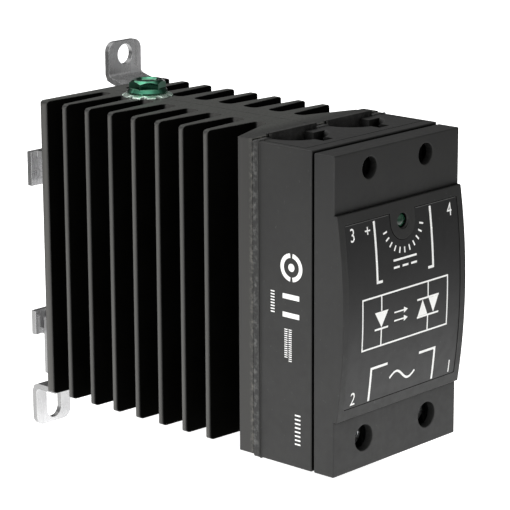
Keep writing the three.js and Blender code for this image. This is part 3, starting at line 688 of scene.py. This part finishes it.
def slot_faces(i):
    """The y of a slot's two faces, at its mouth and at its root."""
    far = fin_rear(i) - (REAR_PLATE if i == FINS - 1 else FIN_T)
    near = BASE_BACK + SIDE_DEPTH if i == 0 else fin_rear(i - 1)
    near_root = SHOULDER if i == 0 else near + FIN_ROOT
    return near, near_root, far - FIN_ROOT, far


def slot_end(i):
    """The blind end of a slot: two parabolic corners that meet on its middle line."""
    _, near_root, far_root, _ = slot_faces(i)
    middle = (near_root + far_root) / 2
    end = spine_half(middle)

    def corner(y, t):
        x = (1 - t) ** 2 * (end + SLOT_ROUND) + 2 * t * (1 - t) * end + t * t * end
        return x, (1 - t) ** 2 * y + 2 * t * (1 - t) * y + t * t * middle

    steps = [k / 6 for k in range(7)]
    return [corner(near_root, t) for t in steps] + [corner(far_root, t) for t in reversed(steps[:-1])]


def fin_side(reach):
    """Half of the extrusion's outline, from the base plate's side to the rear face."""
    line = [(HALF, BASE_BACK), (HALF, BASE_BACK + SIDE_DEPTH)]
    for i in range(FINS):
        line += slot_end(i)
        far = slot_faces(i)[3]
        line += nose(reach, far, fin_rear(i))
    return line


def heatsink():
    left = [(-x, y) for x, y in fin_side(FIN_REACH[-1])]
    sink = prism(fin_side(FIN_REACH[1]) + left[::-1], "z", SINK_BOTTOM, SINK_TOP, "heatsink")
    start = BASE_BACK + SIDE_DEPTH
    corner = prism(rounded((-FIN_REACH[-1], SINK_BOTTOM), (FIN_REACH[1], SINK_TOP), FIN_CORNER, 5),
                   "y", start, DEPTH + 1)
    plate = block((-HALF, HALF), (BASE_BACK - 1, start + 0.2), (SINK_BOTTOM, SINK_TOP))
    sink = common(sink, join(corner, plate))
    soften(sink, 0.22, 3, 40, True)
    radius, floor = EARTH_HOLE["radius"], SINK_TOP - EARTH_HOLE["depth"]
    thread = turned([(0, floor), (radius, floor), (radius, SINK_TOP + 1), (0, SINK_TOP + 1)], "z",
                    (0, EARTH_Y))
    groove = block((-0.09, 0.09), (BASE_BACK + 1.5, DEPTH - 4), (SINK_TOP - 0.12, SINK_TOP + 1))
    cut(sink, thread, groove)
    return finished(sink, "finned_heatsink", "frame", ANODISED, ("heatsink",))


# ------------------------------------------------------------------ base housing
def funnel(sign, x, y, radius, face, up):
    """A half-round wire door whose lip rolls in from the face."""
    lip, roll = 1.1, 1.5
    profile = [(0, face + up * 3), (radius + lip, face + up * 3)]
    profile += [(radius + lip * (1 - math.sin(a)), face - up * roll * (1 - math.cos(a)))
                for a in (math.radians(11.25 * k) for k in range(9))]
    profile += [(radius - 0.6, face - up * 5), (radius - 0.6, face - up * 10), (0, face - up * 10)]
    cone = turned(profile, "z", (sign * x, y), 72)
    return common(cone, block((sign * x - 12, sign * x + 12), (y - 12, y), (face - 12, face + 12)))


def base_shell(front, back):
    """The housing's box with its skirt against the heatsink, open to the cover and the heatsink."""
    shell = block((-HALF, HALF), (front, back), (0, HEIGHT), "base_housing")
    out = SKIRT["out"]
    join(shell, block((-HALF - out, HALF + out), (back - SKIRT["depth"], back), (-out, HEIGHT + out)))
    soften(shell, 0.3, 3)
    return cut(shell, block((-CAVITY["half"], CAVITY["half"]), (front - 5, back + 1), CAVITY["z"]))


def panel_groove(shell, rear):
    """The fine groove round the three open sides of the wire doors' panel."""
    half, front, wide = PANEL["half"], PANEL["front"], PANEL["wide"]
    height = (HEIGHT - PANEL["deep"], HEIGHT + 1)
    for _, s in SIDES:
        cut(shell, block(mirrored(s, (half, half - wide)), (front, rear), height))
    cut(shell, block((-half, half), (front, front + wide), height))


def base_housing():
    front, back = COVER_BACK + SEAM, BASE_BACK
    shell = base_shell(front, back)
    panel_groove(shell, back - SKIRT["depth"])
    for _, s in SIDES:
        join(shell, block(mirrored(s, LIP["x"]), (LIP["front"], front + 1), LIP["z"]))
        pockets = [block(mirrored(s, t["pocket_x"]), (front - 1, t["pocket_back"]), t["pocket_z"])
                   for t in (INPUT, OUTPUT)]
        doors = [funnel(s, t["door_x"], t["door_y"], t["door_radius"], face, up)
                 for t, face, up in ((INPUT, HEIGHT, 1), (OUTPUT, 0, -1))]
        cut(shell, *pockets, *doors)
        for rib in RIBS:
            ridge = block(mirrored(s, RIB_X), rib["y"], (HEIGHT - rib["down"], HEIGHT + rib["up"]))
            join(shell, soften(ridge, rib["edge"], 2))
        # The door's inner corner is filled, and a release slot opens its front.
        middle = s * INPUT["door_x"]
        fill, slot = ([middle + x for x in part["x"]] for part in (DOOR_FILL, DOOR_SLOT))
        join(shell, block(fill, DOOR_FILL["y"], [HEIGHT - down for down in DOOR_FILL["down"]]))
        cut(shell, block(slot, DOOR_SLOT["y"], (HEIGHT - DOOR_SLOT["down"], HEIGHT + 1)))
    return finished(shell, "moulded_base_housing", "frame", HOUSING, ("base_housing",))


# ------------------------------------------------------------------ front cover
PLATE_MID = (PLATE_TOP + PLATE_LOW) / 2
PLATE_CHORD = (PLATE_TOP - PLATE_LOW) / 2
CROWN = (PLATE_CHORD ** 2 + PLATE_BULGE ** 2) / (2 * PLATE_BULGE)


def crown(z, depth=0.0):
    """y of the nameplate's face at height z, set back by depth."""
    return depth + CROWN - math.sqrt(CROWN ** 2 - (z - PLATE_MID) ** 2) - PLATE_EDGE - PLATE_BULGE


def crown_line(low, high, depth):
    """The crown from one height to another, as (y, z)."""
    steps = 48
    heights = [low + (high - low) * i / steps for i in range(steps + 1)]
    return [(crown(z, depth), z) for z in heights]


def crown_band(low, high, near, far, half, notch, corner):
    """A sheet that follows the crown, with round corners and a notch round the status window."""
    outline = crown_line(low, high, near) + crown_line(low, high, far)[::-1]
    band = prism(outline, "x", -half, half, "band")
    border = rounded((-half, low), (half, high), corner)
    common(band, prism(border, "y", -8, 4))
    arch = [(notch, high + 3), (-notch, high + 3)] + arc((0, WINDOW_Z), notch, 180, 360, 24)
    return cut(band, prism(arch, "y", -8, 4))


def front_cover():
    shell = block((-HALF, HALF), (0, COVER_BACK), (0, COVER_TOP), "front_cover")
    soften(shell, 0.32, 3)
    outline = [(0.6, PLATE_LOW)] + crown_line(PLATE_LOW, PLATE_TOP, 0) + [(0.6, PLATE_TOP)]
    plate = soften(prism(outline, "x", -HALF, HALF), 0.25, 3, 30)
    join(shell, plate)
    cut(shell, block((-HALF + COVER_WALL, HALF - COVER_WALL), (2, COVER_BACK + 1),
                     (COVER_WALL, COVER_TOP - COVER_WALL)))
    cut(shell, crown_band(LABEL_LOW, LABEL_TOP, -1.0, LABEL_SINK, LABEL_HALF, NOTCH, 0.5))
    for t in (INPUT, OUTPUT):
        for _, s in SIDES:
            r = t["hole"]
            profile = [(0, -1), (r + 0.3, -1), (r + 0.3, 0), (r + 0.09, 0.09), (r, 0.3), (r, 4), (0, 4)]
            cut(shell, turned(profile, "y", (s * t["x"], t["z"])))
    face = crown(WINDOW_Z)
    r = WINDOW_HOLE
    cut(shell, turned([(0, face - 2), (r + 0.3, face - 2), (r + 0.3, face), (r, face + 0.3), (r, 4), (0, 4)],
                      "y", (0, WINDOW_Z)))
    return finished(shell, "moulded_front_cover", "frame", HOUSING, ("front_cover",))


PRINT_Y = LABEL_SINK - LABEL_T - 0.05


def nameplate():
    gap = LABEL_GAP
    film = crown_band(LABEL_LOW + gap, LABEL_TOP - gap, PRINT_Y, PRINT_Y + LABEL_T, LABEL_HALF - gap,
                      NOTCH + gap, 0.45)
    return finished(film, "printed_label", "frame", LABEL, ("nameplate_label",), 25)


def printed(name, outlines, material=PRINT):
    """White ink on the label: outlines in (x, z), laid on the crown as thin plates."""
    bm = bmesh.new()
    for outline in outlines:
        bm.faces.new([bm.verts.new((x, 0, z)) for x, z in outline])
    bmesh.ops.triangulate(bm, faces=bm.faces)
    lift_onto_crown(bm)
    obj = work(name, bm)
    return finished(obj, name, "frame", material)


def lift_onto_crown(bm):
    """Slices flat outlines at even heights, lays them on the crown and gives them a thickness."""
    step = 1.5
    heights = [v.co.z for v in bm.verts]
    z = math.floor(min(heights) / step) * step
    while z < max(heights):
        bmesh.ops.bisect_plane(bm, geom=bm.verts[:] + bm.edges[:] + bm.faces[:],
                               plane_co=(0, 0, z), plane_no=(0, 0, 1))
        z += step
    bmesh.ops.recalc_face_normals(bm, faces=bm.faces)
    for v in bm.verts:
        v.co.y = crown(v.co.z, PRINT_Y)
    result = bmesh.ops.extrude_face_region(bm, geom=bm.faces[:])
    for item in result["geom"]:
        if isinstance(item, bmesh.types.BMVert):
            item.co.y -= INK


def bar(x0, z0, x1, z1, width=0.66):
    """A straight stroke."""
    dx, dz = x1 - x0, z1 - z0
    length = math.hypot(dx, dz)
    nx, nz = -dz / length * width / 2, dx / length * width / 2
    return [(x0 + nx, z0 + nz), (x0 - nx, z0 - nz), (x1 - nx, z1 - nz), (x1 + nx, z1 + nz)]


def stroke(points, width):
    """A bent stroke of one width."""
    left, right = [], []
    for i, (x, z) in enumerate(points):
        before, after = points[max(i - 1, 0)], points[min(i + 1, len(points) - 1)]
        dx, dz = after[0] - before[0], after[1] - before[1]
        length = math.hypot(dx, dz)
        left.append((x - dz / length * width / 2, z + dx / length * width / 2))
        right.append((x + dz / length * width / 2, z - dx / length * width / 2))
    return left + right[::-1]


def numeral(text, x, z, height):
    """A terminal number as an outline mesh in (x, z)."""
    curve = bpy.data.curves.new("numeral_" + text, "FONT")
    curve.body = text
    curve.size = height / 0.7
    curve.align_x = "CENTER"
    curve.resolution_u = 6
    source = bpy.data.objects.new("numeral_" + text, curve)
    bpy.context.scene.collection.objects.link(source)
    graph = bpy.context.evaluated_depsgraph_get()
    mesh = bpy.data.meshes.new_from_object(source.evaluated_get(graph))
    bm = bmesh.new()
    bm.from_mesh(mesh)
    for v in bm.verts:
        v.co = (x + v.co.x * 0.82, 0, z - height / 2 + v.co.y)
    lift_onto_crown(bm)
    obj = work("terminal_number_" + text, bm)
    bpy.data.objects.remove(source)
    bpy.data.meshes.remove(mesh)
    return finished(obj, "terminal_number_" + text, "frame", PRINT)


def label_print():
    for text, x, z in (("3", -17.9, 57.0), ("4", 17.25, 56.95), ("2", -17.5, 18.35), ("1", 18.0, 18.25)):
        numeral(text, x, z, 3.15)
    printed("plus_sign", [bar(-13.5, 57.1, -11.7, 57.1, 0.34), bar(-12.6, 56.2, -12.6, 56.9, 0.34),
                          bar(-12.6, 57.3, -12.6, 58.0, 0.34)])
    strokes = []
    for _, s in SIDES:
        strokes.append(stroke([(s * 10.15, 58.9), (s * 10.15, 51), (s * 10.15, 44.85)], 0.66))
        strokes.append(bar(s * 10.48, 44.62, s * 8.3, 44.62, 0.62))
        strokes.append(stroke([(s * 11.65, 16.4), (s * 11.65, 20), (s * 11.65, 24.0)], 0.66))
        strokes.append(bar(s * 11.98, 24.3, s * 5.8, 24.3, 0.62))
    printed("terminal_brackets", strokes)
    ticks = []
    for k in range(11):
        angle = math.radians(-165 + 15 * k)
        ticks.append(bar(6.1 * math.cos(angle), WINDOW_Z + 6.1 * math.sin(angle),
                         7.5 * math.cos(angle), WINDOW_Z + 7.5 * math.sin(angle), 0.42))
    printed("status_ticks", ticks)
    # Direct current over the input, alternating current over the output.
    printed("direct_current_sign", [bar(-4.2, 48.6, 4.2, 48.6, 0.5)] + [bar(x, 46.9, x + 2.1, 46.9, 0.5)
                                                                     for x in (-4.2, -1.05, 2.1)])
    wave = [(-4.6 + 9.2 * i / 40, 20.4 + 1.25 * math.sin(TAU * i / 40)) for i in range(41)]
    printed("alternating_current_sign", [stroke(wave, 0.55)])
    printed("relay_symbol", relay_symbol())
    # A thin grey line along the label's top edge is a painted highlight on the recess edge.
    printed("label_top_edge_highlight", [bar(s * 4.9, 59.32, s * 20.1, 59.32, 0.14) for _, s in SIDES], LABEL_EDGE_HIGHLIGHT)


def side_print():
    """White marks on the housing's left side: a plain ring, two bars and rows of fine lines."""
    def row(y, low, high, count, width, weight):
        pitch = (high - low) / count
        return [[(y - width / 2, low + pitch * k), (y + width / 2, low + pitch * k),
                 (y + width / 2, low + pitch * k + weight), (y - width / 2, low + pitch * k + weight)]
                for k in range(count)]

    ring_y, ring_z = 12.8, 47.9
    marks = []
    for start in (97, 277):
        marks.append(arc((ring_y, ring_z), 3.35, start, start + 166, 24)
                     + arc((ring_y, ring_z), 2.3, start + 166, start, 24))
    marks.append(arc((ring_y, ring_z), 0.95, 0, 345, 23))
    for z in (40.9, 36.5):
        marks.append([(10.4, z - 0.6), (15.5, z - 0.6), (15.5, z + 0.6), (10.4, z + 0.6)])
    marks += row(18.6, 36.4, 42.0, 8, 1.2, 0.28)
    marks += row(13.2, 25.4, 33.4, 16, 0.95, 0.22) + row(14.5, 26.2, 33.4, 14, 0.95, 0.22)
    marks += row(10.9, 5.6, 13.6, 8, 1.7, 0.36)
    bm = bmesh.new()
    for outline in marks:
        near = [bm.verts.new((-HALF - INK, y, z)) for y, z in outline]
        far = [bm.verts.new((-HALF + 0.05, y, z)) for y, z in outline]
        bm.faces.new(near)
        bm.faces.new(far)
        for i in range(len(near)):
            j = (i + 1) % len(near)
            bm.faces.new((near[i], near[j], far[j], far[i]))
    return finished(work("side_marks", bm), "side_marks", "frame", PRINT)


def relay_symbol():
    """A plain circuit sign: a light-emitting diode facing a pair of opposed thyristors."""
    z = 35.4
    parts = []
    for x0, x1, z0, z1 in ((-15.5, 15.5, z + 6, z + 6), (-15.5, 15.5, z - 6, z - 6),
                           (-15.5, -15.5, z - 6.2, z + 6.2), (15.5, 15.5, z - 6.2, z + 6.2)):
        parts.append(bar(x0, z0, x1, z1, 0.4))
    parts.append([(-11.2, z + 2.2), (-6.4, z + 2.2), (-8.8, z - 1.6)])
    parts.append(bar(-11.2, z - 1.9, -6.4, z - 1.9, 0.45))
    parts += [bar(-8.8, z + 2.3, -8.8, z + 6, 0.4), bar(-8.8, z - 2.1, -8.8, z - 6, 0.4)]
    for dz in (0.9, -1.1):
        parts.append(bar(-4.2, z + dz, -0.6, z + dz, 0.36))
        parts.append([(-0.7, z + dz + 0.75), (-0.7, z + dz - 0.75), (0.7, z + dz)])
    parts.append([(4.4, z - 1.9), (8.0, z - 1.9), (6.2, z + 1.9)])
    parts.append([(8.4, z + 1.9), (12.0, z + 1.9), (10.2, z - 1.9)])
    parts += [bar(4.2, z + 2.15, 12.2, z + 2.15, 0.45), bar(4.2, z - 2.15, 12.2, z - 2.15, 0.45)]
    parts += [bar(8.2, z + 2.3, 8.2, z + 6, 0.4), bar(8.2, z - 2.3, 8.2, z - 6, 0.4)]
    return parts


def status_window():
    face = crown(WINDOW_Z) + 0.35
    r = WINDOW_LENS
    profile = [(0, face)] + [(r * math.sin(a), face + 0.55 * (1 - math.cos(a)))
                             for a in [math.radians(15 * k) for k in range(1, 7)]] + [(r, 2.2), (0, 2.2)]
    lens = turned(profile, "y", (0, WINDOW_Z), 48)
    return finished(lens, "status_lens", "frame", WINDOW, ("status_window",))


# ------------------------------------------------------------------ earth screw
def earth_screw():
    """A hexagon head on a flange, with a chamfered crown, a shallow dish and a threaded shank."""
    seat = SINK_TOP + WASHER_T
    across = HEX_FLATS / 2 / math.cos(math.pi / 6)
    low, top = seat + 1.1, seat + HEAD_TOP
    flange = turned([(0, seat), (FLANGE - 0.15, seat), (FLANGE, seat + 0.15), (FLANGE, seat + 0.4),
                     (across - 0.1, low + 0.1), (0, low + 0.1)], "z", (0, EARTH_Y))
    corners = [TAU * (k + 0.35) / 6 for k in range(6)]
    hexagon = prism([(across * math.cos(a), EARTH_Y + across * math.sin(a)) for a in corners], "z",
                    low - 0.5, top)
    crown_and_dish = turned([(0, seat - 2), (across + 2, seat - 2), (across + 2, top - 1.7),
                             (across - 0.25, top - 0.62), (across - 0.95, top), (2.95, top),
                             (2.5, top - 0.35), (0, top - 0.4)], "z", (0, EARTH_Y))
    common(hexagon, crown_and_dish)
    join(flange, hexagon)
    soften(flange, 0.16, 3, 24, True)
    root, crest, pitch = THREAD["root"], THREAD["crest"], THREAD["pitch"]
    z = SINK_TOP - THREAD["depth"]
    shank = [(0, z)]
    while z < seat - 1.2:
        shank += [(root, z), (crest, z + pitch / 2), (root, z + pitch)]
        z += pitch
    shank += [(2.2, seat + 0.5), (0, seat + 0.5)]
    join(flange, turned(shank, "z", (0, EARTH_Y), 48))
    return finished(flange, "earth_flange_screw", "earth_screw", GREEN, ("earth_screw",))


def earth_washer():
    """A washer with rounded notches between its teeth."""
    low, top = SINK_TOP + 0.04, SINK_TOP + WASHER_T - 0.04
    ring = turned([(2.7, low), (WASHER, low), (WASHER, low + 0.3), (FLANGE, top), (2.7, top)], "z",
                  (0, EARTH_Y), 96)
    for k in range(WASHER_TEETH):
        angle = TAU * k / WASHER_TEETH
        notch = turned([(0, low - 1), (0.9, low - 1), (0.9, top + 1), (0, top + 1)], "z",
                       (WASHER * math.cos(angle), EARTH_Y + WASHER * math.sin(angle)), 20)
        cut(ring, notch)
    soften(ring, 0.08, 2, 40)
    return finished(ring, "earth_toothed_washer", "earth_washer", PALE_GREEN,
                    ("earth_washer",))


# ------------------------------------------------------------------ everything else
def small_parts():
    """The inner pieces, screws, clamps and sheet parts: the CAD nodes with rounded edges."""
    for node, material in (
            ("heat_spreader", COPPER), ("ceramic_substrate", CERAMIC), ("scr_chip_lower", SILICON),
            ("scr_chip_upper", SILICON), ("control_board", BOARD), ("optocoupler", EPOXY),
            ("snubber_capacitor", FILM), ("snubber_resistor", CERAMIC), ("varistor", DISC),
            ("input_resistor", LACQUER), ("gate_resistor", LACQUER), ("status_led", LED)):
        refined(node, material, 0.15)
    for k in (1, 2, 3):
        refined(f"gate_lead_{k}", PLATED, 0.1)
    for side, _ in SIDES:
        for node, material in (
                ("input_contact", COPPER), ("output_busbar", COPPER), ("input_clamp", PLATED),
                ("output_clamp", PLATED), ("input_screw", STEEL), ("output_screw", STEEL),
                ("housing_screw", STEEL), ("latch_rivet", STEEL)):
            refined(f"{node}_{side}", material, 0.15)
    for node in ("mounting_bracket", "din_latch"):
        refined(node, SHEET, 0.3, 3)
    for node in ("bracket_screw_lower", "bracket_screw_upper"):
        refined(node, STEEL, 0.1)
    spring = refined("latch_spring", STEEL, 0.02, 1, 80)
    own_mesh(spring)


# ------------------------------------------------------------------ stage, light and camera
CAMERA = {"place": (-424.28, -345.48, 188.6), "azimuth": -47.391, "elevation": 14.343, "roll": -0.276,
          "lens": 171.85}


def camera():
    az, el, roll = (math.radians(CAMERA[k]) for k in ("azimuth", "elevation", "roll"))
    back = Vector((math.sin(az) * math.cos(el), -math.cos(az) * math.cos(el), math.sin(el)))
    right = Vector((math.cos(az), math.sin(az), 0))
    up = back.cross(right)
    turned_right = right * math.cos(roll) + up * math.sin(roll)
    turned_up = up * math.cos(roll) - right * math.sin(roll)
    data = bpy.data.cameras.new("camera")
    data.lens = CAMERA["lens"]
    data.sensor_width = 36
    data.clip_end = 20
    obj = bpy.data.objects.new("camera", data)
    bpy.context.scene.collection.objects.link(obj)
    rotation = Matrix((turned_right, turned_up, back)).transposed().to_4x4()
    obj.matrix_world = Matrix.Translation(DRAWING @ Vector(CAMERA["place"])) @ rotation
    bpy.context.scene.camera = obj


def area_light(name, place_mm, target_mm, size, power):
    data = bpy.data.lights.new(name, "AREA")
    data.shape = "RECTANGLE"
    data.size, data.size_y = size
    data.energy = power
    obj = bpy.data.objects.new(name, data)
    bpy.context.scene.collection.objects.link(obj)
    place_m, target = DRAWING @ Vector(place_mm), DRAWING @ Vector(target_mm)
    obj.location = place_m
    obj.rotation_euler = (target - place_m).to_track_quat("-Z", "Y").to_euler()


def studio():
    """A room lit from the left, and a white table that ends to the left and right of the relay. The white
    table glows, painted light that washes out the relay's shadow.
    """
    world = bpy.data.worlds.new("studio")
    bpy.context.scene.world = world
    world.use_nodes = True
    nodes, links = world.node_tree.nodes, world.node_tree.links
    direction = nodes.new("ShaderNodeTexCoord").outputs["Generated"]
    shade = nodes.new("ShaderNodeVectorMath")
    shade.operation = "DOT_PRODUCT"
    shade.inputs[1].default_value = (0.85, 0.45, 0.1)
    links.new(direction, shade.inputs[0])
    background = nodes["Background"]
    background.inputs["Color"].default_value = (1, 1, 1, 1)
    height = nodes.new("ShaderNodeSeparateXYZ")
    links.new(direction, height.inputs["Vector"])
    overhead = ramp(nodes, links, height.outputs["Z"], 0, 0.9, 0.82, 0.93)
    total = nodes.new("ShaderNodeMath")
    links.new(ramp(nodes, links, shade.outputs["Value"], 0.75, 0.05, -0.5, 0.6), total.inputs[0])
    links.new(overhead, total.inputs[1])
    links.new(total.outputs["Value"], background.inputs["Strength"])
    centre = (0, 45, 38)
    area_light("key", (-520, -60, 420), centre, (0.5, 0.5), 2.0)
    area_light("rear_top", (60, 320, 520), centre, (0.6, 0.5), 1.1)
    bpy.context.scene.view_settings.view_transform = "Standard"

    material, nodes, links, bsdf = shader("pale_floor")
    where = place(nodes)
    cloud = noise(nodes, links, where, 0.002, 2)
    across = nodes.new("ShaderNodeVectorMath")
    across.operation = "DOT_PRODUCT"
    across.inputs[1].default_value = (0.677, -0.736, 0)
    links.new(where, across.inputs[0])
    white = tint(nodes, links, cloud, (0.9, 0.9, 0.9), (0.92, 0.92, 0.92))

    def past(start, end, grey, under):
        factor = ramp(nodes, links, across.outputs["Value"], 0, 1, start, end)
        edge = nodes.new("ShaderNodeMix")
        edge.data_type = "RGBA"
        edge.inputs["B"].default_value = (grey, grey, grey, 1)
        links.new(factor, edge.inputs["Factor"])
        links.new(under, edge.inputs["A"])
        return factor, edge.outputs["Result"]

    right, table = past(0.15, 0.3, 0.22, white)
    left, table = past(-0.1, -0.3, 0.1, table)
    links.new(table, bsdf.inputs["Base Color"])
    bsdf.inputs["Roughness"].default_value = 0.7
    bsdf.inputs["Specular IOR Level"].default_value = 0.1
    # The white table glows: painted light that washes out the relay's shadow on it.
    bsdf.inputs["Emission Color"].default_value = (1, 1, 1, 1)
    glow = nodes.new("ShaderNodeMath")
    glow.operation = "MULTIPLY"
    links.new(ramp(nodes, links, right, 0.95, 0.04, 0, 1), glow.inputs[0])
    links.new(ramp(nodes, links, left, 1, 0.02, 0, 1), glow.inputs[1])
    links.new(glow.outputs["Value"], bsdf.inputs["Emission Strength"])
    bottom = drawn(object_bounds()[0]).z - 0.05
    floor = turned([(0, bottom - 5), (3000, bottom - 5), (3000, bottom), (0, bottom)], "z", (0, 0), 96)
    floor.data.transform(DRAWING)
    floor.name = "floor"
    floor.data.materials.append(material)
    floor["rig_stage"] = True


camera()
heatsink()
base_housing()
front_cover()
nameplate()
label_print()
side_print()
status_window()
earth_screw()
earth_washer()
small_parts()
studio()
